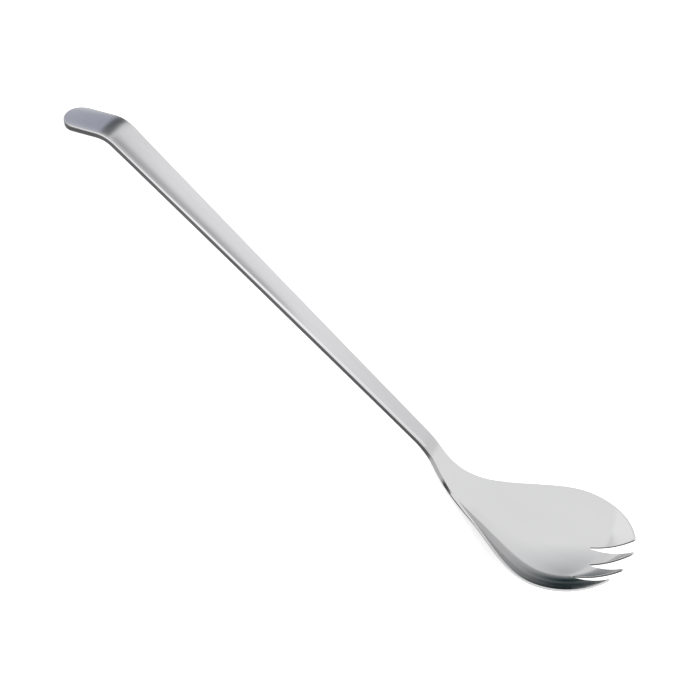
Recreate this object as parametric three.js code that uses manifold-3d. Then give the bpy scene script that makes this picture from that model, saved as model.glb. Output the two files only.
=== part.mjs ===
import * as THREE from 'three';
import { mergeVertices } from 'three/addons/utils/BufferGeometryUtils.js';
import Module from 'manifold-3d';

// Serving fork of stainless steel: a tapered bar handle with a hooked end,
// joined by a ground neck weld to a pressed bowl with four pointed tines.
// Millimetres, +X towards the tines, +Z up, lying face up on a table at Z = 0.

// Handle, sizes of the bar and its hook; angles are in degrees
const GRIP_LENGTH = 180;
const HOOK_WIDTH = 15.2;
const WAIST = 0.35;
const HOOK_THICKNESS = 3.5;
const HOOK_CROWN = 0.8;
const HOOK_RADIUS = 15;
const HOOK_ANGLE = 41;
const TAB_LENGTH = 20;
const CROWN_POWER = 2.8;
const EDGE_RADIUS = 1.2;
const UNDER_RADIUS = 0.75;
const EDGE_SHARE = 0.45;

// Neck, from the end of the straight grip: it dips, runs straight, then lifts into the bowl
const NECK_WIDTH = 8.3;
const NECK_THICKNESS = 3.45;
const NECK_CROWN = 0.3;
const DIP_ANGLE = 19.65;
const DIP_RADIUS = 36.6;
const DIP_STRAIGHT = 3.65;
const LIFT_ANGLE = 24.35;
const LIFT_RADIUS = 31.3;

// Weld, the slice of ground weld metal between the bar and the head
const WELD_OFFSET = 5;
const WELD_WIDTH = 0.8;
const WELD_CLEARANCE = 0.02;

// Bowl, lengths along its rim from the end of the straight grip
const HEAD_LENGTH = 110.2;
const BOWL_WIDTH = 60.6;
const WIDEST_AT = 78.5;
const FLANK_START = 8.6;
const FLANK_EASE_NECK = 32.6;
const FLANK_EASE_BOWL = 18.8;
const RIM_RADIUS = 215;
const BOWL_DEPTH = 12.4;
const DISH_START = 10;
const DISH_EASE_NECK = 50;
const DISH_EASE_TIP = 35;
const DISH_POWER = 2.3;
const SHEET_THICKNESS = 0.9;
const SHEET_START = 50;

// Tines, three slots from a round root to the gaps between the tips
const OUTER_TIP_OFFSET = 13;
const INNER_TIP_OFFSET = 5.4;
const TIP_WIDTH = 0.8;
const SIDE_SLOT_OFFSET = 9.4;
const SIDE_SLOT_ROOT = 88.7;
const MIDDLE_SLOT_ROOT = 92.3;
const SLOT_ROOT_RADIUS = 0.4;
const SLOT_OVERRUN = 6;

// Mesh fineness
const HANDLE_COLUMNS = 6;
const HEAD_COLUMNS = 14;
const EDGE_STEPS = 3;
const BEND_STEP = 2.5;
const END_STEPS = 9;
const GRIP_STEPS = 8;
const FLANK_STEPS = 12;
const FRONT_STEPS = 12;

const { clamp, degToRad, lerp, smoothstep } = THREE.MathUtils;
const wasm = await Module();
wasm.setup();

// Positions along the top face, measured from the hook tip
const BEND_START = TAB_LENGTH;
const GRIP_START = BEND_START + HOOK_RADIUS * degToRad(HOOK_ANGLE);
const NECK_START = GRIP_START + GRIP_LENGTH;
const WELD_START = NECK_START + WELD_OFFSET;
const WELD_END = WELD_START + WELD_WIDTH;
const DIP_END = NECK_START + DIP_RADIUS * degToRad(DIP_ANGLE);
const LIFT_START = DIP_END + DIP_STRAIGHT;
const RIM_START = LIFT_START + LIFT_RADIUS * degToRad(DIP_ANGLE + LIFT_ANGLE);
const HEAD_END = NECK_START + HEAD_LENGTH;

// Side view of the top face as a chain of straights and arcs
const spine = [
  { end: BEND_START, curvature: 0 },
  { end: GRIP_START, curvature: -1 / HOOK_RADIUS },
  { end: NECK_START, curvature: 0 },
  { end: DIP_END, curvature: -1 / DIP_RADIUS },
  { end: LIFT_START, curvature: 0 },
  { end: RIM_START, curvature: 1 / LIFT_RADIUS },
  { end: Infinity, curvature: 1 / RIM_RADIUS },
];

// Point and slope of the top face at a distance from the hook tip
function spineAt(distance) {
  const here = { x: 0, z: 0, slope: degToRad(HOOK_ANGLE) };
  let start = 0;
  for (const { end, curvature } of spine) {
    const run = Math.min(distance, end) - start;
    const slope = here.slope + curvature * run;
    if (curvature === 0) {
      here.x += run * Math.cos(slope);
      here.z += run * Math.sin(slope);
    } else {
      here.x += (Math.sin(slope) - Math.sin(here.slope)) / curvature;
      here.z += (Math.cos(here.slope) - Math.cos(slope)) / curvature;
    }
    here.slope = slope;
    if (distance <= end) {
      break;
    }
    start = end;
  }
  return here;
}

// Bends flat work, laid out as distance, side and height, along the spine
function bend(positions) {
  for (let i = 0; i < positions.length; i += 3) {
    const { x, z, slope } = spineAt(positions[i]);
    const height = positions[i + 2];
    positions[i] = x - height * Math.sin(slope);
    positions[i + 2] = z + height * Math.cos(slope);
  }
  return positions;
}

// Height of a curve above a point of its first axis, along which it always runs forward
function curveAt(curve, target) {
  let low = 0;
  let high = 1;
  for (let step = 0; step < 40; step += 1) {
    const middle = (low + high) / 2;
    if (curve.getPoint(middle).x < target) {
      low = middle;
    } else {
      high = middle;
    }
  }
  return curve.getPoint(low).y;
}

// Share of the way from the hook to the neck
function taper(distance) {
  return clamp((distance - GRIP_START) / GRIP_LENGTH, 0, 1);
}

// Half width of the bar, without its round end; halfway along, the bar is narrower by the waist
function barHalfWidth(distance) {
  const share = taper(distance);
  const waist = 4 * WAIST * share * (1 - share);
  return (lerp(HOOK_WIDTH, NECK_WIDTH, share) - waist) / 2;
}

function barThickness(distance) {
  return lerp(HOOK_THICKNESS, NECK_THICKNESS, taper(distance));
}

// Fall of the crowned top face from its middle to a place beside it
function crownFall(crown, side, halfWidth) {
  return crown * Math.abs(side / halfWidth) ** CROWN_POWER;
}

function barCrown(distance, side) {
  return crownFall(lerp(HOOK_CROWN, NECK_CROWN, taper(distance)), side, barHalfWidth(distance));
}

const barSection = {
  columns: HANDLE_COLUMNS,
  heightAt: () => 0,
  crownAt: barCrown,
  thicknessAt: barThickness,
};

// Plan of the bowl: an ogee flank from the neck to the widest place, then an elliptic front
const flank = new THREE.CubicBezierCurve(
  new THREE.Vector2(FLANK_START, NECK_WIDTH / 2),
  new THREE.Vector2(FLANK_START + FLANK_EASE_NECK, NECK_WIDTH / 2),
  new THREE.Vector2(WIDEST_AT - FLANK_EASE_BOWL, BOWL_WIDTH / 2),
  new THREE.Vector2(WIDEST_AT, BOWL_WIDTH / 2),
);

function headHalfWidth(distance) {
  const along = distance - NECK_START;
  if (along <= FLANK_START) {
    return NECK_WIDTH / 2;
  }
  if (along < WIDEST_AT) {
    return curveAt(flank, along);
  }
  const share = (along - WIDEST_AT) / (HEAD_LENGTH - WIDEST_AT);
  return (BOWL_WIDTH / 2) * Math.sqrt(Math.max(0, 1 - share ** 2));
}

// Middle line of the dish below its rim: it leaves the neck flat and rises steeply at the tip
const DISH_PULL = BOWL_DEPTH * 9 / 4;
const dish = new THREE.CubicBezierCurve(
  new THREE.Vector2(DISH_START, 0),
  new THREE.Vector2(DISH_START + DISH_EASE_NECK, 0),
  new THREE.Vector2(HEAD_LENGTH - DISH_EASE_TIP, DISH_PULL),
  new THREE.Vector2(HEAD_LENGTH, 0),
);

function dishDepth(distance) {
  const along = distance - NECK_START;
  return along <= DISH_START ? 0 : curveAt(dish, along);
}

// Share of the change from bar section to thin sheet
function sheetShare(distance) {
  return smoothstep(distance, WELD_END, NECK_START + SHEET_START);
}

function headThickness(distance) {
  return lerp(NECK_THICKNESS, SHEET_THICKNESS, sheetShare(distance));
}

function headHeight(distance, side) {
  return -dishDepth(distance) * (1 - Math.abs(side / headHalfWidth(distance)) ** DISH_POWER);
}

function headCrown(distance, side) {
  return crownFall(NECK_CROWN * (1 - sheetShare(distance)), side, headHalfWidth(distance));
}

const headSection = {
  columns: HEAD_COLUMNS,
  heightAt: headHeight,
  crownAt: headCrown,
  thicknessAt: headThickness,
};

// Outline station with its outward direction in plan
function station(distance, halfWidth) {
  const reach = 0.001;
  const growth = halfWidth(distance + reach) - halfWidth(distance - reach);
  const outward = new THREE.Vector2(-growth, 2 * reach).normalize();
  return { distance, half: halfWidth(distance), outward };
}

// Distances from one place to another in equal steps
function steps(from, to, longest) {
  const count = Math.max(1, Math.ceil((to - from) / longest));
  return Array.from({ length: count + 1 }, (unused, i) => lerp(from, to, i / count));
}

// Closed flat plate with rounded edges over a list of outline stations;
// its top face falls away by the crown, its underside follows the height alone
function plate(stations, { columns, heightAt, crownAt, thicknessAt }) {
  const positions = [];
  const loops = [];
  for (const { distance, half, outward } of stations) {
    const thickness = thicknessAt(distance);
    const topRadius = Math.min(EDGE_RADIUS, EDGE_SHARE * thickness);
    const lowRadius = Math.min(UNDER_RADIUS, EDGE_SHARE * thickness);
    const loop = [];
    const place = (inset, across, drop) => {
      const along = distance - inset * outward.x;
      const side = across * Math.max(0, half - inset * outward.y);
      const reach = 0.01;
      const height = heightAt(along, side);
      const slopeAlong = (height - heightAt(along - reach, side)) / reach;
      const slopeAcross = (heightAt(along, side + reach) - heightAt(along, side - reach)) / (2 * reach);
      const normal = new THREE.Vector3(-slopeAlong, -slopeAcross, 1).normalize();
      const fall = crownAt(along, side) * (1 - drop / thickness);
      const point = new THREE.Vector3(along, side, height).addScaledVector(normal, -drop - fall);
      loop.push(positions.length / 3);
      positions.push(point.x, point.y, point.z);
    };
    const edge = (across, angle, low) => {
      const radius = low ? lowRadius : topRadius;
      const inset = radius * (1 - Math.sin(angle));
      const drop = radius * (1 - Math.cos(angle));
      place(inset, across, low ? thickness - drop : drop);
    };
    const angles = Array.from({ length: EDGE_STEPS }, (unused, i) => (i + 1) / EDGE_STEPS * Math.PI / 2);
    for (let i = 0; i <= columns; i += 1) {
      place(topRadius, lerp(-1, 1, i / columns), 0);
    }
    angles.forEach((angle) => edge(1, angle, false));
    angles.toReversed().forEach((angle) => edge(1, angle, true));
    for (let i = columns; i >= 0; i -= 1) {
      place(lowRadius, lerp(-1, 1, i / columns), thickness);
    }
    angles.forEach((angle) => edge(-1, angle, true));
    angles.toReversed().forEach((angle) => edge(-1, angle, false));
    loops.push(loop);
  }
  const triangles = [];
  const size = loops[0].length;
  for (let row = 0; row + 1 < loops.length; row += 1) {
    for (let i = 0; i < size; i += 1) {
      const next = (i + 1) % size;
      const [a, b] = [loops[row][i], loops[row][next]];
      const [c, d] = [loops[row + 1][i], loops[row + 1][next]];
      triangles.push(a, c, b, b, c, d);
    }
  }
  if (stations[0].half > 0) {
    closeEnd(triangles, loops[0], columns, false);
  }
  closeEnd(triangles, loops[loops.length - 1], columns, true);
  return solid(positions, triangles);
}

// Flat end of a plate: strips between top and bottom columns, then a fan over each rounded edge
function closeEnd(triangles, loop, columns, far) {
  const edgePoints = 2 * EDGE_STEPS;
  const bottom = (i) => loop[2 * columns + edgePoints + 1 - i];
  const add = (a, b, c) => triangles.push(...(far ? [a, c, b] : [a, b, c]));
  for (let i = 0; i < columns; i += 1) {
    add(loop[i], loop[i + 1], bottom(i));
    add(loop[i + 1], bottom(i + 1), bottom(i));
  }
  for (let i = 0; i < edgePoints; i += 1) {
    add(loop[columns], loop[columns + i + 1], loop[columns + i + 2]);
    const start = 2 * columns + edgePoints + 1;
    add(loop[start], loop[start + i + 1], loop[(start + i + 2) % loop.length]);
  }
}

// Joins equal corners, leaves out triangles without area, and makes a solid
function solid(positions, triangles) {
  const geometry = new THREE.BufferGeometry();
  geometry.setAttribute('position', new THREE.Float32BufferAttribute(positions, 3));
  geometry.setIndex(triangles);
  const joined = mergeVertices(geometry, 1e-4);
  const kept = [];
  for (let i = 0; i < joined.index.count; i += 3) {
    const corners = [0, 1, 2].map((k) => joined.index.getX(i + k));
    if (new Set(corners).size === 3) {
      kept.push(...corners);
    }
  }
  return new wasm.Manifold(new wasm.Mesh({
    numProp: 3,
    vertProperties: new Float32Array(joined.attributes.position.array),
    triVerts: new Uint32Array(kept),
  }));
}

// Straight prism through the sheet, from a round root out between two tine tips
function slotPrism(root, lowTip, highTip) {
  const touch = (tip, turn) => {
    const way = tip.clone().sub(root);
    const angle = way.angle() + turn * Math.acos(SLOT_ROOT_RADIUS / way.length());
    const point = new THREE.Vector2(Math.cos(angle), Math.sin(angle)).multiplyScalar(SLOT_ROOT_RADIUS).add(root);
    const end = tip.clone().sub(point).setLength(SLOT_OVERRUN).add(tip);
    return { angle, point, end };
  };
  const low = touch(lowTip, -1);
  const high = touch(highTip, 1);
  const shape = new THREE.Shape();
  shape.moveTo(low.end.x, low.end.y);
  shape.lineTo(low.point.x, low.point.y);
  shape.absarc(root.x, root.y, SLOT_ROOT_RADIUS, low.angle, high.angle, true);
  shape.lineTo(high.end.x, high.end.y);
  shape.closePath();
  const depth = 3 * BOWL_DEPTH;
  const prism = new THREE.ExtrudeGeometry(shape, { depth, bevelEnabled: false, curveSegments: 8 });
  prism.translate(0, 0, -depth / 2);
  prism.deleteAttribute('normal');
  prism.deleteAttribute('uv');
  const joined = mergeVertices(prism, 1e-4);
  return solid([...joined.attributes.position.array], [...joined.index.array]);
}

// Place on the outline of the bowl front at a given side
function frontPoint(side) {
  const reach = (HEAD_LENGTH - WIDEST_AT) * Math.sqrt(1 - (2 * side / BOWL_WIDTH) ** 2);
  return new THREE.Vector2(NECK_START + WIDEST_AT + reach, side);
}

// Handle: round end, tab, hook bend, tapered grip and the first part of the dip
function makeHandle() {
  const radius = HOOK_WIDTH / 2;
  const roundEnd = Array.from({ length: END_STEPS }, (unused, i) => {
    const angle = i / END_STEPS * Math.PI / 2;
    const outward = new THREE.Vector2(-Math.cos(angle), Math.sin(angle));
    return { distance: radius * (1 - Math.cos(angle)), half: radius * Math.sin(angle), outward };
  });
  const rest = [
    radius,
    ...steps(BEND_START, GRIP_START, 1),
    ...steps(GRIP_START, NECK_START, GRIP_LENGTH / GRIP_STEPS).slice(1),
    ...steps(NECK_START, WELD_START - WELD_CLEARANCE, BEND_STEP).slice(1),
  ];
  const stations = [...roundEnd, ...rest.map((distance) => station(distance, barHalfWidth))];
  return plate(stations, barSection);
}

// Weld: a slice of the neck section
function makeWeld() {
  const stations = steps(WELD_START, WELD_END, WELD_WIDTH).map((distance) => station(distance, barHalfWidth));
  return plate(stations, barSection);
}

// Head: neck, dished bowl and the three slots that part the tines
function makeHead() {
  const flankEnd = NECK_START + WIDEST_AT;
  const lift = steps(LIFT_START, RIM_START, BEND_STEP);
  const bowl = steps(RIM_START, flankEnd, (flankEnd - RIM_START) / FLANK_STEPS).slice(1);
  const lastAngle = Math.acos(INNER_TIP_OFFSET / BOWL_WIDTH);
  const front = steps(0, lastAngle, lastAngle / FRONT_STEPS).slice(1);
  const distances = [
    ...steps(WELD_END + WELD_CLEARANCE, DIP_END, BEND_STEP),
    ...lift,
    ...bowl,
    ...front.map((angle) => flankEnd + (HEAD_LENGTH - WIDEST_AT) * Math.sin(angle)),
  ];
  const stations = distances.map((distance) => station(distance, headHalfWidth));
  const blank = plate(stations, headSection);
  const outerTip = frontPoint(OUTER_TIP_OFFSET);
  const innerTip = frontPoint(INNER_TIP_OFFSET);
  const blunt = new THREE.Vector2(0, TIP_WIDTH / 2);
  const sideRoot = new THREE.Vector2(NECK_START + SIDE_SLOT_ROOT, SIDE_SLOT_OFFSET);
  const middleRoot = new THREE.Vector2(NECK_START + MIDDLE_SLOT_ROOT, 0);
  const mirror = ({ x, y }) => new THREE.Vector2(x, -y);
  const innerOutside = innerTip.clone().add(blunt);
  const innerInside = innerTip.clone().sub(blunt);
  return blank
    .subtract(slotPrism(sideRoot, innerOutside, outerTip))
    .subtract(slotPrism(mirror(sideRoot), mirror(outerTip), mirror(innerOutside)))
    .subtract(slotPrism(middleRoot, mirror(innerInside), innerInside));
}

// Bent mesh of a flat solid
function piece(name, flat, material) {
  const { vertProperties, triVerts } = flat.getMesh();
  const geometry = new THREE.BufferGeometry();
  geometry.setAttribute('position', new THREE.Float32BufferAttribute(bend([...vertProperties]), 3));
  geometry.setIndex([...triVerts]);
  geometry.computeVertexNormals();
  const mesh = new THREE.Mesh(geometry, material);
  mesh.name = name;
  return mesh;
}

const steel = (color, roughness) => new THREE.MeshStandardMaterial({ color, roughness, metalness: 1 });
const handle = piece('handle', makeHandle(), steel(0xbcbcbe, 0.42));
const weld = piece('neck_weld', makeWeld(), steel(0xcacacc, 0.25));
const head = piece('fork_head', makeHead(), steel(0xd6d6d8, 0.14));

// Lowest corner of a piece when the fork is turned about its side axis
function lowest(mesh, tilt) {
  const corners = mesh.geometry.attributes.position;
  const point = new THREE.Vector3();
  const turn = new THREE.Euler(0, tilt, 0);
  let found = new THREE.Vector3(0, 0, Infinity);
  for (let i = 0; i < corners.count; i += 1) {
    point.fromBufferAttribute(corners, i).applyEuler(turn);
    if (point.z < found.z) {
      found = point.clone();
    }
  }
  return found;
}

// Turned until hook tip and bowl belly both touch the table
const fork = new THREE.Group();
fork.name = 'fork';
fork.add(handle, weld, head);
for (let step = 0; step < 8; step += 1) {
  const hook = lowest(handle, fork.rotation.y);
  const belly = lowest(head, fork.rotation.y);
  fork.rotation.y += Math.atan2(belly.z - hook.z, belly.x - hook.x);
}
const box = new THREE.Box3().setFromObject(fork, true);
fork.position.set(-(box.min.x + box.max.x) / 2, 0, -box.min.z);

const servingFork = new THREE.Group();
servingFork.name = 'serving_fork';
servingFork.add(fork);
export default servingFork;
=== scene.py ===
import math

import bpy
import numpy as np
from mathutils import Matrix, Vector
from mathutils.geometry import delaunay_2d_cdt


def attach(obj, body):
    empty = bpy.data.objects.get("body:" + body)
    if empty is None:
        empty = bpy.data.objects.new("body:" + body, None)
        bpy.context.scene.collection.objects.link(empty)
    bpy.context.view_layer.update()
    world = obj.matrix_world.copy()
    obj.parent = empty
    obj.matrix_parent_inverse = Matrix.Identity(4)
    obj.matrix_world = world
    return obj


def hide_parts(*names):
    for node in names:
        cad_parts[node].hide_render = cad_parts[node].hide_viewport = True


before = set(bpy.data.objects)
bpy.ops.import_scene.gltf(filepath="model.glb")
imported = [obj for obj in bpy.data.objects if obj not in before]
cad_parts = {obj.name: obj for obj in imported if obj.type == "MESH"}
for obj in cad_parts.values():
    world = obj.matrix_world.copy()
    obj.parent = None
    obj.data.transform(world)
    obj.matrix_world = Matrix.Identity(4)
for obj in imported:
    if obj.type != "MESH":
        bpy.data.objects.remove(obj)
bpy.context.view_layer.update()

# Handle, in millimetres and degrees, the same as in the CAD source
GRIP_LENGTH = 180
HOOK_WIDTH = 15.2
WAIST = 0.35
HOOK_THICKNESS = 3.5
HOOK_CROWN = 0.8
HOOK_RADIUS = 15
HOOK_ANGLE = 41
TAB_LENGTH = 20
CROWN_POWER = 2.8
UNDER_RADIUS = 0.75
EDGE_SHARE = 0.45

# Neck and weld, the same as in the CAD source
NECK_WIDTH = 8.3
NECK_THICKNESS = 3.45
NECK_CROWN = 0.3
DIP_ANGLE = 19.65
DIP_RADIUS = 36.6
DIP_STRAIGHT = 3.65
LIFT_ANGLE = 24.35
LIFT_RADIUS = 31.3
WELD_OFFSET = 5
WELD_WIDTH = 0.8

# Head, the same as in the CAD source, with places along it counted from the end of the grip
HEAD_LENGTH = 110.2
BOWL_WIDTH = 60.6
WIDEST_AT = 78.5
FLANK_START = 8.6
FLANK_EASE_NECK = 32.6
FLANK_EASE_BOWL = 18.8
RIM_RADIUS = 215
BOWL_DEPTH = 12.4
DISH_START = 10
DISH_EASE_NECK = 50
DISH_EASE_TIP = 35
DISH_POWER = 2.3
SHEET_THICKNESS = 0.9
SHEET_START = 50
OUTER_TIP_OFFSET = 13
INNER_TIP_OFFSET = 5.4
TIP_WIDTH = 0.8
SIDE_SLOT_OFFSET = 9.4
SIDE_SLOT_ROOT = 88.7
MIDDLE_SLOT_ROOT = 92.3
SLOT_ROOT_RADIUS = 0.4

# Rest pose on the table, as the CAD source works it out: a tilt in degrees, then a shift along X and Z
REST_TILT = 2.60019
REST_SHIFT = (-152.5552, 2.4316)
MILLIMETRES_IN_METRE = 1000

# Rounding that only the smooth pieces have
HOOK_EDGE = 0.45
NECK_EDGE = 1.3
RIM_EDGE = 0.4
RIM_EDGE_FROM = 20
SLOT_EDGE = 0.12
TIP_ROUND = 0.35
TIP_FADE_START = 1
TIP_FADE_LENGTH = 4

# Fineness of the bar's pieces
EDGE_STEPS = 6
BAR_COLUMNS = 10
END_ROWS = 24
TAB_ROWS = 7
BEND_ROWS = 24
GRIP_ROWS = 39
NECK_ROWS = 10
WELD_ROWS = 4

# Fineness of the head: steps in millimetres, the gap before the tip in radians, and counts of points
NECK_STEP = 0.8
FLANK_STEP = 1.0
FLANK_STEP_FROM = 40
FRONT_POINTS = 52
FRONT_GAP = 0.025
TIP_POINTS = 7
ROOT_POINTS = 13
CUT_POINTS = 9
GRID_STEP = 0.9
GRID_MARGIN = 1
GRID_CLEAR = 0.5
SLOT_STEP = 0.7 * GRID_STEP

# Fineness of the calculations, and the mode in which faces are filled
CURVE_STEPS = 2000
SLOPE_REACH = 0.02
NEVER_ZERO = 1e-6
MERGE_DISTANCE = 1e-5
INSIDE_ONLY = 1

# Steel
SPECULAR_TINT = (0.92, 0.92, 0.92, 1)
MARK_DETAIL = 4
MARK_DEPTH = 0.00005
# Slant of the normal over which the painted edge highlight brightens the steel's colour
EDGE_SLANT = (0.15, 0.45)

# Floor, in metres: ovals have a middle, a half length and a half width; the dim and dark ovals are the
# fork's painted shadow, which the steel alone shows, and the lifted oval lightens it in one place
FLOOR_SIZE = 6
FLOOR_COLOUR = (0.9, 0.9, 0.9, 1)
FLOOR_ROUGHNESS = 0.9
FLOOR_GLOW = 0.55
PAINTED_SHADOW_OVALS = [(0, -0.022, 0.27, 0.026), (0.145, 0.012, 0.045, 0.04), (0.162, -0.048, 0.035, 0.04)]
LIFTED_OVAL = (0.0685, -0.010, 0.0055, 0.009)
LIFTED_SHARE = 0.5
PAINTED_CONTACT_SHADOW_OVAL = (0.081, -0.02, 0.008, 0.02)
PAINTED_CONTACT_SHADOW_TONE = 0.03
PAINTED_SHADOW_TONE = 0.17
OVAL_EDGE = (0.7, 1.2)
PAINTED_SHADOW_REACH = (0.085, 0.11)
BRIGHT_STRIP = (0.03, 0.09)
BRIGHT_STRENGTH = (1.27, 1.0)

# Cards, in metres: the bend's card and the tab's share a side
SHARED_FAR = (-0.174, 0.091, 0.017)
SHARED_NEAR = (-0.220, 0.022, 0.062)
OVERHEAD_CARD = [(-0.15, 0.006, 0.072), (-0.015, 0.006, 0.072), (-0.015, 0.03, 0.072), (-0.15, 0.03, 0.072)]
BEND_CARD = [SHARED_FAR, (-0.156, 0.094, 0.043), (-0.176, 0.016, 0.106), SHARED_NEAR]
TAB_CARD = [(-0.176, 0.089, 0.001), SHARED_FAR, SHARED_NEAR, (-0.236, 0.018, 0.001)]
OVERHEAD_REACH = 0.1
HOOK_REACH = 0.22
CARD_RAY_DEPTH = 1.5

# Light tent
TENT_STRENGTH = 1.17
OPENING_CORE = 0.05
MIRROR_RAY_DEPTH = 2.5

# Camera of the photo, in metres, degrees and millimetres of lens
AIM = Vector((0.00585, 0.00576, 0.010))
DISTANCE = 0.99273
ELEVATION = 49.118
AZIMUTH = -5.936
ROLL = 47.909
LENS = 118.29
CLIP_END = 20

# Places along the top face, measured from the hook tip
GRIP_START = TAB_LENGTH + HOOK_RADIUS * math.radians(HOOK_ANGLE)
NECK_START = GRIP_START + GRIP_LENGTH
WELD_START = NECK_START + WELD_OFFSET
WELD_END = WELD_START + WELD_WIDTH
DIP_END = NECK_START + DIP_RADIUS * math.radians(DIP_ANGLE)
LIFT_START = DIP_END + DIP_STRAIGHT
RIM_START = LIFT_START + LIFT_RADIUS * math.radians(DIP_ANGLE + LIFT_ANGLE)
HEAD_END = NECK_START + HEAD_LENGTH

# Side view of the top face: where each stretch ends, and its curvature
SPINE = [
    (TAB_LENGTH, 0),
    (GRIP_START, -1 / HOOK_RADIUS),
    (NECK_START, 0),
    (DIP_END, -1 / DIP_RADIUS),
    (LIFT_START, 0),
    (RIM_START, 1 / LIFT_RADIUS),
    (HEAD_END, 1 / RIM_RADIUS),
]

# A cubic curve with one raised point out of four peaks at 4/9 of that point's height
DISH_PULL = BOWL_DEPTH * 9 / 4

# Factors that mirror work from one side of the fork to the other
FLIP_PLAN = np.array([1, -1])
FLIP_SPACE = np.array([1, -1, 1])


def spine_at(distance):
    """Point, slope and curvature of the top face's side view, for many distances at once."""
    x, z = np.zeros_like(distance), np.zeros_like(distance)
    slope = np.full_like(distance, math.radians(HOOK_ANGLE))
    curvature = np.zeros_like(distance)
    start = 0
    for end, bend in SPINE:
        run = np.clip(distance, start, end) - start
        after = slope + bend * run
        if bend == 0:
            x = x + run * np.cos(after)
            z = z + run * np.sin(after)
        else:
            x = x + (np.sin(after) - np.sin(slope)) / bend
            z = z + (np.cos(slope) - np.cos(after)) / bend
        curvature = np.where(distance > start, bend, curvature)
        slope, start = after, end
    return x, z, slope, curvature


def placed(flat, normals):
    """Bends flat work (distance, side, height) along the spine and lays it in the rest pose, in metres."""
    x, z, slope, curvature = spine_at(flat[:, 0])
    height = flat[:, 2]
    along = normals[:, 0] / (1 - curvature * height)
    sin, cos = np.sin(slope), np.cos(slope)
    points = np.stack([x - height * sin, flat[:, 1], z + height * cos], 1)
    turned = np.stack([
        along * cos - normals[:, 2] * sin,
        normals[:, 1],
        along * sin + normals[:, 2] * cos,
    ], 1)
    tilt = math.radians(REST_TILT)
    rest = np.array([
        [math.cos(tilt), 0, math.sin(tilt)],
        [0, 1, 0],
        [-math.sin(tilt), 0, math.cos(tilt)],
    ])
    points = points @ rest.T + np.array([REST_SHIFT[0], 0, REST_SHIFT[1]])
    turned = turned @ rest.T
    return points / MILLIMETRES_IN_METRE, turned / np.linalg.norm(turned, axis=1, keepdims=True)


def curve_at(knots, target):
    """Height of a cubic curve, given by four points, above places on its first axis."""
    t = np.linspace(0, 1, CURVE_STEPS + 1)[:, None]
    a, b, c, d = np.array(knots, float)
    line = (1 - t) ** 3 * a + 3 * (1 - t) ** 2 * t * b + 3 * (1 - t) * t ** 2 * c + t ** 3 * d
    return np.interp(target, line[:, 0], line[:, 1])


def taper(distance):
    """Share of the way along the grip."""
    return np.clip((distance - GRIP_START) / GRIP_LENGTH, 0, 1)


def bar_half(distance):
    """Half the width of the bar."""
    share = taper(distance)
    return (HOOK_WIDTH + (NECK_WIDTH - HOOK_WIDTH) * share) / 2 - 2 * WAIST * share * (1 - share)


def bar_thickness(distance):
    return HOOK_THICKNESS + (NECK_THICKNESS - HOOK_THICKNESS) * taper(distance)


def bar_height(distance, side):
    return np.zeros_like(distance)


def bar_crown(distance, side):
    """How far the bar's top face falls towards its edges."""
    crown = HOOK_CROWN + (NECK_CROWN - HOOK_CROWN) * taper(distance)
    return crown * np.abs(side / bar_half(distance)) ** CROWN_POWER


def head_half(distance):
    """Half the width of the head: a curved flank up to the widest place, and an oval from there."""
    along = distance - NECK_START
    flank = curve_at([
        (FLANK_START, NECK_WIDTH / 2),
        (FLANK_START + FLANK_EASE_NECK, NECK_WIDTH / 2),
        (WIDEST_AT - FLANK_EASE_BOWL, BOWL_WIDTH / 2),
        (WIDEST_AT, BOWL_WIDTH / 2),
    ], along)
    share = np.clip((along - WIDEST_AT) / (HEAD_LENGTH - WIDEST_AT), 0, 1)
    front = BOWL_WIDTH / 2 * np.sqrt(np.maximum(NEVER_ZERO, 1 - share ** 2))
    return np.where(along < WIDEST_AT, flank, front)


def dish_depth(distance):
    """Depth of the bowl along its middle."""
    return curve_at([
        (DISH_START, 0),
        (DISH_START + DISH_EASE_NECK, 0),
        (HEAD_LENGTH - DISH_EASE_TIP, DISH_PULL),
        (HEAD_LENGTH, 0),
    ], distance - NECK_START)


def sheet_share(distance):
    """0 at the weld, 1 where the head has thinned to plain sheet, with a smooth change between."""
    share = np.clip((distance - WELD_END) / (NECK_START + SHEET_START - WELD_END), 0, 1)
    return share ** 2 * (3 - 2 * share)


def head_thickness(distance):
    return NECK_THICKNESS + (SHEET_THICKNESS - NECK_THICKNESS) * sheet_share(distance)


def head_height(distance, side):
    return -dish_depth(distance) * (1 - np.abs(side / head_half(distance)) ** DISH_POWER)


def head_crown(distance, side):
    """How far the head's top face falls towards its edges near the neck."""
    return (1 - sheet_share(distance)) * NECK_CROWN * np.abs(side / head_half(distance)) ** CROWN_POWER


def surface(height, crown, distance, side):
    """Height of the middle of a face, its normal, the crown's fall and the crowned normal."""

    def normal_of(function):
        ahead, behind = function(distance + SLOPE_REACH, side), function(distance - SLOPE_REACH, side)
        left, right = function(distance, side + SLOPE_REACH), function(distance, side - SLOPE_REACH)
        along = (ahead - behind) / (2 * SLOPE_REACH)
        across = (left - right) / (2 * SLOPE_REACH)
        normal = np.stack([-along, -across, np.ones_like(along)], 1)
        return normal / np.linalg.norm(normal, axis=1, keepdims=True)

    plain = normal_of(height)
    crowned = normal_of(lambda s, y: height(s, y) - crown(s, y))
    return height(distance, side), plain, crown(distance, side), crowned


def edge_radii(distance, thickness):
    """Radii of the edges round the top face, widest at the neck, and round the underside."""
    places = [GRIP_START, NECK_START, WELD_END, NECK_START + RIM_EDGE_FROM]
    top = np.interp(distance, places, [HOOK_EDGE, NECK_EDGE, NECK_EDGE, RIM_EDGE])
    return [np.minimum(radius, EDGE_SHARE * thickness) for radius in (top, UNDER_RADIUS)]


def edge_angles():
    return [math.pi / 2 * step / EDGE_STEPS for step in range(1, EDGE_STEPS + 1)]


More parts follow.
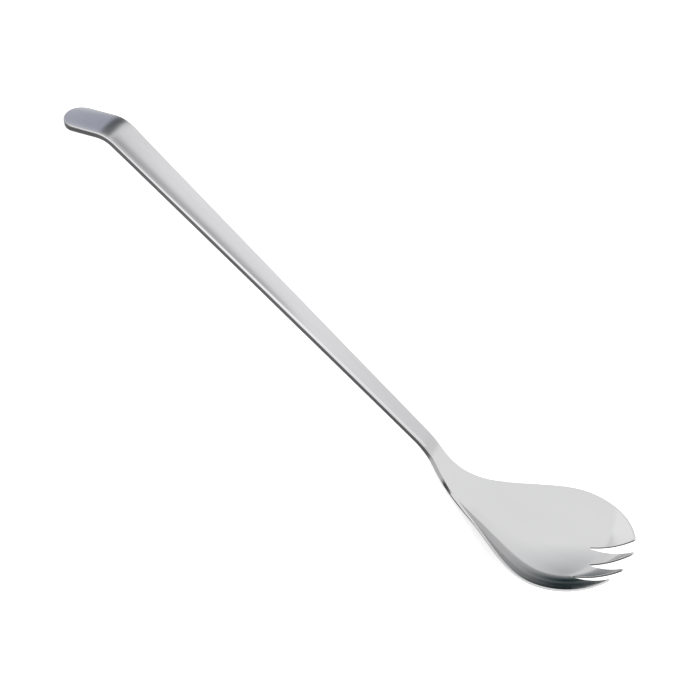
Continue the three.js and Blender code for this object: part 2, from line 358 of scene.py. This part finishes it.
def layer(shape, outline, outward, radii, angle, low):
    """One ring of a rounded edge: angle 0 lies on the face, a right angle on the side wall."""
    height, crown, thickness = shape
    radius = radii[1] if low else radii[0]
    plan = outline - (radius * (1 - math.sin(angle)))[:, None] * outward
    level, plain, fall, crowned = surface(height, crown, plan[:, 0], plan[:, 1])
    thick = thickness(outline[:, 0])
    drop = radius * (1 - math.cos(angle))
    drop = thick - drop if low else drop
    points = np.column_stack([plan, level]) - (drop + fall * (1 - drop / thick))[:, None] * plain
    flat = np.column_stack([outward, np.zeros(len(outward))])
    side = flat - (flat * plain).sum(1)[:, None] * plain
    side /= np.linalg.norm(side, axis=1, keepdims=True)
    face = -plain if low else crowned
    return points, math.cos(angle) * face + math.sin(angle) * side


def make_piece(name, flat, normals, faces):
    """A smooth mesh from flat work, with its true normals."""
    points, turned = placed(flat, normals)
    mesh = bpy.data.meshes.new(name)
    mesh.from_pydata(points.tolist(), [], faces)
    mesh.update()
    mesh.shade_smooth()
    mesh.normals_split_custom_set_from_vertices(turned.tolist())
    piece = bpy.data.objects.new(name, mesh)
    bpy.context.scene.collection.objects.link(piece)
    return piece


def bar_face(outline, outward, radius, low):
    """Lines of points across the bar's top face or underside, from the -Y edge to the +Y edge."""
    inset = outline - radius[:, None] * outward
    lines = []
    for share in np.linspace(-1, 1, BAR_COLUMNS + 1):
        plan = inset * np.array([1, share])
        level, plain, fall, crowned = surface(bar_height, bar_crown, plan[:, 0], plan[:, 1])
        drop = bar_thickness(outline[:, 0]) if low else fall
        lines.append((np.column_stack([plan, level - drop]), -plain if low else crowned))
    return lines


def bar_section(outline, outward):
    """Points and normals right round the bar, with a row for each place along it."""
    shape = (bar_height, bar_crown, bar_thickness)
    radii = edge_radii(outline[:, 0], bar_thickness(outline[:, 0]))
    top = bar_face(outline, outward, radii[0], False)
    under = bar_face(outline, outward, radii[1], True)
    top_edge = [layer(shape, outline, outward, radii, angle, False) for angle in edge_angles()]
    under_edge = [layer(shape, outline, outward, radii, angle, True) for angle in edge_angles()]
    back_up = under_edge + top_edge[::-1]
    flipped = [(points * FLIP_SPACE, normals * FLIP_SPACE) for points, normals in back_up]
    lines = top + top_edge + under_edge[::-1] + under[::-1] + flipped
    return np.stack([line[0] for line in lines], 1), np.stack([line[1] for line in lines], 1)


def bar_piece(name, outline, outward):
    """A length of the bar: a skin right round its section, with a flat end where it is cut across."""
    points, normals = bar_section(outline, outward)
    rows, size = points.shape[:2]
    faces = []
    for row in range(rows - 1):
        for i in range(size):
            j = (i + 1) % size
            face = (row * size + i, (row + 1) * size + i, (row + 1) * size + j, row * size + j)
            # At the nose of the tab two corners of a face can meet, which leaves a triangle
            faces.append(face[:3] if np.allclose(points[row, i], points[row, j]) else face)
    flat, turned = points.reshape(-1, 3), normals.reshape(-1, 3)
    for row, way in ((0, -1), (rows - 1, 1)):
        if outline[row, 1] > 0:
            loop = list(range(len(flat), len(flat) + size))
            faces.append(loop if way < 0 else loop[::-1])
            flat = np.vstack([flat, points[row]])
            turned = np.vstack([turned, np.tile([way, 0, 0], (size, 1))])
    return make_piece(name, flat, turned, faces)


def bar_outline(distances):
    """The bar's outline on its +Y side, with the ways that point out of it."""
    outline = np.column_stack([distances, bar_half(distances)])
    return outline, np.tile([0.0, 1.0], (len(outline), 1))


def make_handle():
    """The bar from the round nose of the hook's tab to the weld."""
    radius = HOOK_WIDTH / 2
    angle = np.linspace(0, math.pi / 2, END_ROWS, endpoint=False)
    end = np.column_stack([radius * (1 - np.cos(angle)), radius * np.sin(angle)])
    end_outward = np.column_stack([-np.cos(angle), np.sin(angle)])
    outline, outward = bar_outline(np.concatenate([
        np.linspace(radius, TAB_LENGTH, TAB_ROWS, endpoint=False),
        np.linspace(TAB_LENGTH, GRIP_START, BEND_ROWS, endpoint=False),
        np.linspace(GRIP_START, NECK_START, GRIP_ROWS, endpoint=False),
        np.linspace(NECK_START, WELD_START, NECK_ROWS),
    ]))
    return bar_piece("handle_steel", np.vstack([end, outline]), np.vstack([end_outward, outward]))


def make_weld():
    """The slice of the bar between handle and head."""
    outline, outward = bar_outline(np.linspace(WELD_START, WELD_END, WELD_ROWS))
    return bar_piece("weld_steel", outline, outward)


def front_point(side):
    """Point of the oval that the tips of the tines lie on."""
    reach = (HEAD_LENGTH - WIDEST_AT) * math.sqrt(1 - (2 * side / BOWL_WIDTH) ** 2)
    return np.array([NECK_START + WIDEST_AT + reach, side])


def around(centre, radius, angles):
    """Points of a circle at the given angles."""
    return [centre + radius * np.array([math.cos(angle), math.sin(angle)]) for angle in angles]


def rounded(before, corner, after):
    """Points of the arc that takes a sharp corner off a line."""
    to_before = (before - corner) / np.linalg.norm(before - corner)
    to_after = (after - corner) / np.linalg.norm(after - corner)
    half = math.acos(np.clip(to_before @ to_after, -1, 1)) / 2
    middle = (to_before + to_after) / np.linalg.norm(to_before + to_after)
    centre = corner + middle * TIP_ROUND / math.sin(half)
    start = corner + to_before * TIP_ROUND / math.tan(half) - centre
    end = corner + to_after * TIP_ROUND / math.tan(half) - centre
    turn = math.atan2(start[0] * end[1] - start[1] * end[0], start @ end)
    return around(centre, TIP_ROUND, math.atan2(start[1], start[0]) + np.linspace(0, turn, TIP_POINTS))


def straight(start, end):
    """Points between the ends of a straight line."""
    count = max(2, int(np.linalg.norm(end - start) / SLOT_STEP))
    return [start + (end - start) * k / count for k in range(1, count)]


def touch(root, tip, turn):
    """Angle and point at which a straight line from a tip touches the round root of a slot."""
    way = tip - root
    angle = math.atan2(way[1], way[0]) + turn * math.acos(SLOT_ROOT_RADIUS / np.linalg.norm(way))
    return angle, around(root, SLOT_ROOT_RADIUS, [angle])[0]


def rim_line(tip):
    """Outline of the head's -Y side from the weld almost to the outer tip, with its edge radii."""
    flank_from = NECK_START + FLANK_STEP_FROM
    neck = np.arange(WELD_END, flank_from, NECK_STEP)
    flank = np.arange(flank_from, NECK_START + WIDEST_AT, FLANK_STEP)
    last = math.acos(2 * OUTER_TIP_OFFSET / BOWL_WIDTH) - FRONT_GAP
    turn = np.linspace(0, last, FRONT_POINTS)
    front = NECK_START + WIDEST_AT + (HEAD_LENGTH - WIDEST_AT) * np.sin(turn)
    distances = np.concatenate([neck, flank, front])
    rim = np.column_stack([distances, -head_half(distances)])
    radii = np.stack(edge_radii(distances, head_thickness(distances)))
    to_tip = np.linalg.norm(rim - tip, axis=1)
    share = np.clip((to_tip - TIP_FADE_START) / TIP_FADE_LENGTH, 0, 1)
    return rim, SLOT_EDGE + (radii - SLOT_EDGE) * share


def slot_line(rim_end, tip):
    """Outline from the outer tip round the side slot and the inner tine to the root of the middle slot."""
    inner = front_point(INNER_TIP_OFFSET) * FLIP_PLAN
    half_tip = np.array([0, TIP_WIDTH / 2])
    outside, inside = inner - half_tip, inner + half_tip
    side_root = np.array([NECK_START + SIDE_SLOT_ROOT, -SIDE_SLOT_OFFSET])
    middle_root = np.array([NECK_START + MIDDLE_SLOT_ROOT, 0.0])
    low_angle, low = touch(side_root, tip, -1)
    high_angle, high = touch(side_root, outside, 1)
    middle_angle, middle = touch(middle_root, inside, -1)
    outer_round = rounded(rim_end, tip, low)
    outside_round = rounded(high, outside, inside)
    inside_round = rounded(outside, inside, middle)
    side_turn = np.linspace(low_angle, high_angle - 2 * math.pi, ROOT_POINTS)
    middle_turn = np.linspace(middle_angle, -math.pi, ROOT_POINTS)
    line = outer_round + straight(outer_round[-1], low)
    line += around(side_root, SLOT_ROOT_RADIUS, side_turn)
    line += straight(high, outside_round[0]) + outside_round + inside_round
    line += straight(inside_round[-1], middle)
    line += around(middle_root, SLOT_ROOT_RADIUS, middle_turn)
    return np.array(line)


def head_outline():
    """Outline of the head from the weld right round to the weld, the ways out of it and its edge radii."""
    tip = front_point(OUTER_TIP_OFFSET) * FLIP_PLAN
    rim, rim_radii = rim_line(tip)
    slots = slot_line(rim[-1], tip)
    half = np.vstack([rim, slots])
    half_radii = np.hstack([rim_radii, np.full((2, len(slots)), SLOT_EDGE)])
    outline = np.vstack([half, half[-2::-1] * FLIP_PLAN])
    radii = np.hstack([half_radii, half_radii[:, -2::-1]])
    step = np.roll(outline, -1, 0) - outline
    step /= np.linalg.norm(step, axis=1, keepdims=True)
    way = step + np.roll(step, 1, 0)
    outward = np.column_stack([way[:, 1], -way[:, 0]])
    outward[0], outward[-1] = (0, -1), (0, 1)
    outward /= np.linalg.norm(outward, axis=1, keepdims=True)
    return outline, outward, radii


def inside_outline(points, outline, clear):
    """Which points lie inside a closed outline, at least a given distance from it."""
    start, end = outline, np.roll(outline, -1, 0)
    way = end - start
    rel = points[:, None, :] - start[None]
    share = np.clip((rel * way).sum(2) / np.maximum(NEVER_ZERO, (way ** 2).sum(1)), 0, 1)
    gap = np.linalg.norm(rel - share[..., None] * way, axis=2).min(1)
    x, y = points[:, 0, None], points[:, 1, None]
    spans = (start[:, 1] > y) != (end[:, 1] > y)
    level = np.where(way[:, 1] == 0, 1, way[:, 1])
    crossing = start[:, 0] + (y - start[:, 1]) / level * way[:, 0]
    return ((spans & (x < crossing)).sum(1) % 2 == 1) & (gap > clear)


def inner_points(ring):
    """Points along the cut at the weld, and these again with a lattice of points inside the ring."""
    side = np.linspace(ring[-1, 1], ring[0, 1], CUT_POINTS)[1:-1]
    cut = np.column_stack([np.full(len(side), WELD_END), side])
    lattice = np.stack(np.meshgrid(
        np.arange(WELD_END + GRID_MARGIN, HEAD_END, GRID_STEP),
        np.arange(-BOWL_WIDTH / 2, BOWL_WIDTH / 2, GRID_STEP),
    ), -1).reshape(-1, 2)
    kept = inside_outline(lattice, np.vstack([ring, cut]), GRID_CLEAR)
    return cut, np.vstack([cut, lattice[kept]])


def filled(plan, wall_size):
    """Triangles between the points of a plan, inside the wall that its first points make."""
    places = [Vector(place) for place in plan - plan[0]]
    wall = [list(range(wall_size))]
    result = delaunay_2d_cdt(places, [], wall, INSIDE_ONLY, MERGE_DISTANCE)
    triangles, origins = result[2], result[3]
    return [[origins[i][0] for i in triangle] for triangle in triangles]


def make_head():
    """Rings round the rounded edges, two faces filled with triangles, and a flat end at the weld."""
    shape = (head_height, head_crown, head_thickness)
    outline, outward, radii = head_outline()
    angles = [0] + edge_angles()
    layers = [layer(shape, outline, outward, radii, angle, False) for angle in angles]
    layers += [layer(shape, outline, outward, radii, angle, True) for angle in angles[::-1]]
    ring = outline - radii[0][:, None] * outward
    cut, inner = inner_points(ring)
    level, plain, fall, crowned = surface(head_height, head_crown, inner[:, 0], inner[:, 1])
    middle = np.column_stack([inner, level])
    top = middle - fall[:, None] * plain
    bottom = middle - head_thickness(inner[:, 0])[:, None] * plain
    points = np.vstack([ring_layer[0] for ring_layer in layers] + [top, bottom])
    normals = np.vstack([ring_layer[1] for ring_layer in layers] + [crowned, -plain])
    size, last = len(ring), len(layers) - 1
    top_start = len(layers) * size
    bottom_start = top_start + len(inner)
    faces = []
    for k in range(last):
        for i in range(size - 1):
            faces.append((k * size + i, (k + 1) * size + i, (k + 1) * size + i + 1, k * size + i + 1))
    for triangle in filled(np.vstack([ring, inner]), size + len(cut)):
        faces.append([i if i < size else top_start + i - size for i in triangle])
        lower = [last * size + i if i < size else bottom_start + i - size for i in triangle]
        faces.append(lower[::-1])
    end = [top_start + i for i in range(len(cut))][::-1]
    end += [k * size + size - 1 for k in range(last + 1)]
    end += [bottom_start + i for i in range(len(cut))]
    end += [k * size for k in range(last + 1)][::-1]
    faces.append(list(range(len(points), len(points) + len(end))))
    points = np.vstack([points, points[end]])
    normals = np.vstack([normals, np.tile([-1, 0, 0], (len(end), 1))])
    return make_piece("head_steel", points, normals, faces)


def add_node(tree, kind, **values):
    node = tree.nodes.new(kind)
    for name, value in values.items():
        setattr(node, name, value)
    return node


def feed(tree, socket, value):
    """Links a socket to another node's, or sets it to a plain value."""
    if isinstance(value, bpy.types.NodeSocket):
        tree.links.new(value, socket)
    else:
        socket.default_value = value


def calculated(tree, operation, *values):
    """Result of one operation on sockets and plain numbers."""
    node = add_node(tree, "ShaderNodeMath", operation=operation)
    for socket, value in zip(node.inputs, values):
        feed(tree, socket, value)
    return node.outputs["Value"]


def ranged(tree, value, source, target, interpolation="LINEAR"):
    """A value taken from one range to another."""
    node = add_node(tree, "ShaderNodeMapRange", interpolation_type=interpolation)
    tree.links.new(value, node.inputs["Value"])
    for name, number in zip(("From Min", "From Max", "To Min", "To Max"), (*source, *target)):
        node.inputs[name].default_value = number
    return node.outputs["Result"]


def mixed(tree, factor, first, second, blend="MIX"):
    """A colour made of two."""
    node = add_node(tree, "ShaderNodeMix", data_type="RGBA", blend_type=blend)
    for name, value in (("Factor", factor), ("A", first), ("B", second)):
        feed(tree, node.inputs[name], value)
    return node.outputs["Result"]


def mixed_shader(tree, factor, first, second):
    """A shader made of two."""
    node = add_node(tree, "ShaderNodeMixShader")
    for socket, value in zip(node.inputs, (factor, first, second)):
        tree.links.new(value, socket)
    return node.outputs["Shader"]


def away_from(tree, place, middle, half_sizes=(1, 1, 1)):
    """Distance of a place from a middle, counted in half sizes along each axis."""
    moved = add_node(tree, "ShaderNodeMapping", vector_type="TEXTURE")
    moved.inputs["Location"].default_value = middle
    moved.inputs["Scale"].default_value = half_sizes
    length = add_node(tree, "ShaderNodeVectorMath", operation="LENGTH")
    tree.links.new(place, moved.inputs["Vector"])
    tree.links.new(moved.outputs["Vector"], length.inputs[0])
    return length.outputs["Value"]


def axis_of(tree, vector, axis):
    split = add_node(tree, "ShaderNodeSeparateXYZ")
    tree.links.new(vector, split.inputs["Vector"])
    return split.outputs[axis]


def graded(tree, place, grades):
    """A factor along the fork: each grade takes it from one value to another between two places."""
    along = axis_of(tree, place, "X")
    factor = 1
    for start, end, first, last in grades:
        grade = ranged(tree, along, (start, end), (first, last), "SMOOTHSTEP")
        factor = calculated(tree, "MULTIPLY", grade, factor)
    return factor


def painted_edge_highlight(tree, gain):
    """A factor for the colour: 1 on the faces and sides, and more on the edges between them, a painted
    highlight.
    """
    normal = add_node(tree, "ShaderNodeNewGeometry").outputs["Normal"]
    slant = calculated(tree, "MULTIPLY", axis_of(tree, normal, "Y"), axis_of(tree, normal, "Z"))
    return ranged(tree, calculated(tree, "ABSOLUTE", slant), EDGE_SLANT, (1, gain), "SMOOTHSTEP")


def steel(name, light, dark, roughness, stretch, relief, painted_shade_grades=(), finishes=(), painted_highlight_gain=1):
    """Metal with fine marks, which vary its colour and roughness; grades along the fork vary both too, those
    on the colour being painted shade, and a painted highlight can brighten its edges.
    """
    material = bpy.data.materials.new(name)
    material.use_nodes = True
    tree = material.node_tree
    shader = tree.nodes["Principled BSDF"]
    shader.inputs["Metallic"].default_value = 1
    shader.inputs["Specular Tint"].default_value = SPECULAR_TINT
    place = add_node(tree, "ShaderNodeTexCoord").outputs["Object"]
    scale = add_node(tree, "ShaderNodeMapping")
    scale.inputs["Scale"].default_value = stretch
    noise = add_node(tree, "ShaderNodeTexNoise")
    noise.inputs["Detail"].default_value = MARK_DETAIL
    noise.inputs["Scale"].default_value = 1
    tree.links.new(place, scale.inputs["Vector"])
    tree.links.new(scale.outputs["Vector"], noise.inputs["Vector"])
    marks = noise.outputs["Fac"]
    colour = mixed(tree, marks, (*dark, 1), (*light, 1))
    gloss = ranged(tree, marks, (0, 1), roughness)
    # Grades that darken the colour along the fork are painted shade
    if painted_shade_grades:
        colour = mixed(tree, 1, colour, graded(tree, place, painted_shade_grades), "MULTIPLY")
    if finishes:
        gloss = calculated(tree, "MULTIPLY", gloss, graded(tree, place, finishes))
    # A painted highlight brightens the colour on the edges
    if painted_highlight_gain > 1:
        colour = mixed(tree, 1, colour, painted_edge_highlight(tree, painted_highlight_gain), "MULTIPLY")
    bump = add_node(tree, "ShaderNodeBump")
    bump.inputs["Strength"].default_value = relief
    bump.inputs["Distance"].default_value = MARK_DEPTH
    tree.links.new(marks, bump.inputs["Height"])
    tree.links.new(colour, shader.inputs["Base Color"])
    tree.links.new(gloss, shader.inputs["Roughness"])
    tree.links.new(bump.outputs["Normal"], shader.inputs["Normal"])
    return material


def brushed_steel():
    """Long marks along the handle, rougher towards the neck, with painted shade that darkens it near the
    hook, towards the neck and just before the weld, and a painted highlight on its edges.
    """
    return steel(
        "brushed steel",
        light=(0.645, 0.645, 0.655),
        dark=(0.58, 0.58, 0.59),
        roughness=(0.24, 0.36),
        stretch=(4, 900, 900),
        relief=0.15,
        # Painted shade: darker near the hook, towards the neck and just before the weld
        painted_shade_grades=[(-0.135, -0.095, 0.90, 1), (-0.04, 0.062, 1, 0.82), (0.053, 0.0605, 1, 0.91)],
        finishes=[(-0.15, 0.06, 1, 1.05)],
        painted_highlight_gain=1.2,
    )


def polished_steel():
    """Bright polish, which starts rough just past the weld, where the brushing fades out, with painted shade
    that darkens its colour there.
    """
    return steel(
        "polished steel",
        light=(0.60, 0.60, 0.605),
        dark=(0.57, 0.57, 0.575),
        roughness=(0.09, 0.13),
        stretch=(40, 120, 120),
        relief=0,
        # Painted shade: darker just past the weld
        painted_shade_grades=[(0.0605, 0.0640, 0.83, 1)],
        finishes=[(0.0605, 0.0640, 2.6, 1)],
    )


def ground_steel():
    """Weld metal with marks across the bar."""
    return steel(
        "ground weld",
        light=(0.50, 0.50, 0.505),
        dark=(0.47, 0.47, 0.475),
        roughness=(0.24, 0.34),
        stretch=(300, 60, 60),
        relief=0.05,
    )


def dress(piece, node, material):
    piece.data.materials.append(material)
    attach(piece, "root")
    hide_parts(node)


def oval(tree, place, patch, inside, outside):
    """A value on an oval patch of the floor and another off it, with a soft edge."""
    x, y, half_length, half_width = patch
    away = away_from(tree, place, (x, y, 0), (half_length, half_width, 1))
    return ranged(tree, away, OVAL_EDGE, (inside, outside), "SMOOTHSTEP")


def white_paint(tree):
    """The floor as the camera sees it: white paint that glows, so that only the shadow stays grey."""
    paint = tree.nodes["Principled BSDF"]
    paint.inputs["Base Color"].default_value = FLOOR_COLOUR
    paint.inputs["Roughness"].default_value = FLOOR_ROUGHNESS
    paint.inputs["Specular IOR Level"].default_value = 0
    glow = add_node(tree, "ShaderNodeEmission")
    glow.inputs["Strength"].default_value = FLOOR_GLOW
    both = add_node(tree, "ShaderNodeAddShader")
    tree.links.new(paint.outputs["BSDF"], both.inputs[0])
    tree.links.new(glow.outputs["Emission"], both.inputs[1])
    return both.outputs["Shader"]


def floor_in_steel_with_painted_shadow(tree, ray):
    """The floor as the steel shows it: dim with the fork's painted shadow on ovals close to it, darkest at
    its contact, and white further off.
    """
    place = add_node(tree, "ShaderNodeTexCoord").outputs["Object"]
    close = 1
    for patch in PAINTED_SHADOW_OVALS:
        close = calculated(tree, "MINIMUM", oval(tree, place, patch, 0, 1), close)
    distant = ranged(tree, ray["Ray Length"], PAINTED_SHADOW_REACH, (0, 1))
    lit = calculated(tree, "MAXIMUM", close, distant)
    lit = calculated(tree, "MAXIMUM", lit, oval(tree, place, LIFTED_OVAL, LIFTED_SHARE, 0))
    # The dim floor's colour is painted shadow, darker still on one oval at the fork's contact
    dim = add_node(tree, "ShaderNodeBsdfDiffuse")
    tree.links.new(oval(tree, place, PAINTED_CONTACT_SHADOW_OVAL, PAINTED_CONTACT_SHADOW_TONE, PAINTED_SHADOW_TONE), dim.inputs["Color"])
    bright = add_node(tree, "ShaderNodeEmission")
    strength = ranged(tree, axis_of(tree, place, "Y"), BRIGHT_STRIP, BRIGHT_STRENGTH, "SMOOTHSTEP")
    tree.links.new(strength, bright.inputs["Strength"])
    return mixed_shader(tree, lit, dim.outputs["BSDF"], bright.outputs["Emission"])


def make_floor():
    bpy.ops.mesh.primitive_plane_add(size=FLOOR_SIZE)
    floor = bpy.context.object
    floor.name = "floor"
    material = bpy.data.materials.new("white floor")
    material.use_nodes = True
    tree = material.node_tree
    ray = add_node(tree, "ShaderNodeLightPath").outputs
    shown = mixed_shader(tree, ray["Is Camera Ray"], floor_in_steel_with_painted_shadow(tree, ray), white_paint(tree))
    tree.links.new(shown, tree.nodes["Material Output"].inputs["Surface"])
    floor.data.materials.append(material)


def make_card(name, corners, colour, reach):
    """A dim studio card, which only steel that the camera sees, within the card's reach, reflects."""
    mesh = bpy.data.meshes.new(name)
    mesh.from_pydata(corners, [], [range(len(corners))])
    card = bpy.data.objects.new(name, mesh)
    bpy.context.scene.collection.objects.link(card)
    material = bpy.data.materials.new(name)
    material.use_nodes = True
    tree = material.node_tree
    felt = tree.nodes["Principled BSDF"]
    felt.inputs["Base Color"].default_value = (*colour, 1)
    felt.inputs["Roughness"].default_value = 1
    felt.inputs["Specular IOR Level"].default_value = 0
    ray = add_node(tree, "ShaderNodeLightPath").outputs
    beyond = calculated(tree, "GREATER_THAN", ray["Ray Length"], reach)
    later = calculated(tree, "GREATER_THAN", ray["Ray Depth"], CARD_RAY_DEPTH)
    hidden = calculated(tree, "MAXIMUM", beyond, later)
    clear = add_node(tree, "ShaderNodeBsdfTransparent")
    shown = mixed_shader(tree, hidden, felt.outputs["BSDF"], clear.outputs["BSDF"])
    tree.links.new(shown, tree.nodes["Material Output"].inputs["Surface"])
    mesh.materials.append(material)
    card.visible_camera = False
    card.visible_diffuse = False
    card.visible_shadow = False


def opening(tree, way, azimuth, elevation, spread, light, falloff):
    """Light of the tent, dim towards one direction and full from a given distance on the unit sphere."""
    azimuth, elevation = math.radians(azimuth), math.radians(elevation)
    level = math.cos(elevation)
    middle = (level * math.cos(azimuth), level * math.sin(azimuth), math.sin(elevation))
    share = ranged(tree, away_from(tree, way, middle), (OPENING_CORE, spread), (0, 1), falloff)
    return mixed(tree, share, (*light, 1), (1, 1, 1, 1))


def make_tent():
    """White but for a dim opening low beyond the hook, and a dark one that mirrored steel alone shows."""
    world = bpy.data.worlds.new("tent")
    bpy.context.scene.world = world
    world.use_nodes = True
    tree = world.node_tree
    way = add_node(tree, "ShaderNodeTexCoord").outputs["Generated"]
    depth = add_node(tree, "ShaderNodeLightPath").outputs["Ray Depth"]
    mirrored = calculated(tree, "GREATER_THAN", depth, MIRROR_RAY_DEPTH)
    dim = opening(
        tree, way, azimuth=124, elevation=8, spread=0.68, light=(0.58, 0.59, 0.60), falloff="LINEAR",
    )
    dark = opening(
        tree, way, azimuth=140, elevation=29, spread=0.80, light=(0, 0.04, 0.045), falloff="SMOOTHSTEP",
    )
    tent = tree.nodes["Background"]
    tent.inputs["Strength"].default_value = TENT_STRENGTH
    tree.links.new(mixed(tree, mirrored, dim, dark, "MULTIPLY"), tent.inputs["Color"])


def make_camera():
    """Camera at the photo's viewing angle."""
    elevation, azimuth, roll = math.radians(ELEVATION), math.radians(AZIMUTH), math.radians(ROLL)
    flat = math.cos(elevation)
    back = Vector((math.sin(azimuth) * flat, -math.cos(azimuth) * flat, math.sin(elevation)))
    level = Vector((0, 0, 1)).cross(back).normalized()
    upright = back.cross(level)
    right = level * math.cos(roll) + upright * math.sin(roll)
    turn = Matrix((right, back.cross(right), back)).transposed().to_4x4()
    lens = bpy.data.cameras.new("photo camera")
    lens.lens = LENS
    lens.clip_end = CLIP_END
    camera = bpy.data.objects.new("photo camera", lens)
    camera.matrix_world = Matrix.Translation(AIM + back * DISTANCE) @ turn
    bpy.context.scene.collection.objects.link(camera)
    bpy.context.scene.camera = camera


# The handle stays out of reflections, so that the head doesn't mirror it
handle = make_handle()
handle.visible_glossy = False
dress(handle, "handle", brushed_steel())
dress(make_weld(), "neck_weld", ground_steel())
dress(make_head(), "fork_head", polished_steel())

make_floor()
make_card("overhead_flag", OVERHEAD_CARD, colour=(0.42, 0.42, 0.43), reach=OVERHEAD_REACH)
make_card("bend_flag", BEND_CARD, colour=(0.08, 0.09, 0.095), reach=HOOK_REACH)
make_card("tab_flag", TAB_CARD, colour=(0.45, 0.47, 0.57), reach=HOOK_REACH)
make_tent()
make_camera()

bpy.context.scene.view_settings.view_transform = "Standard"
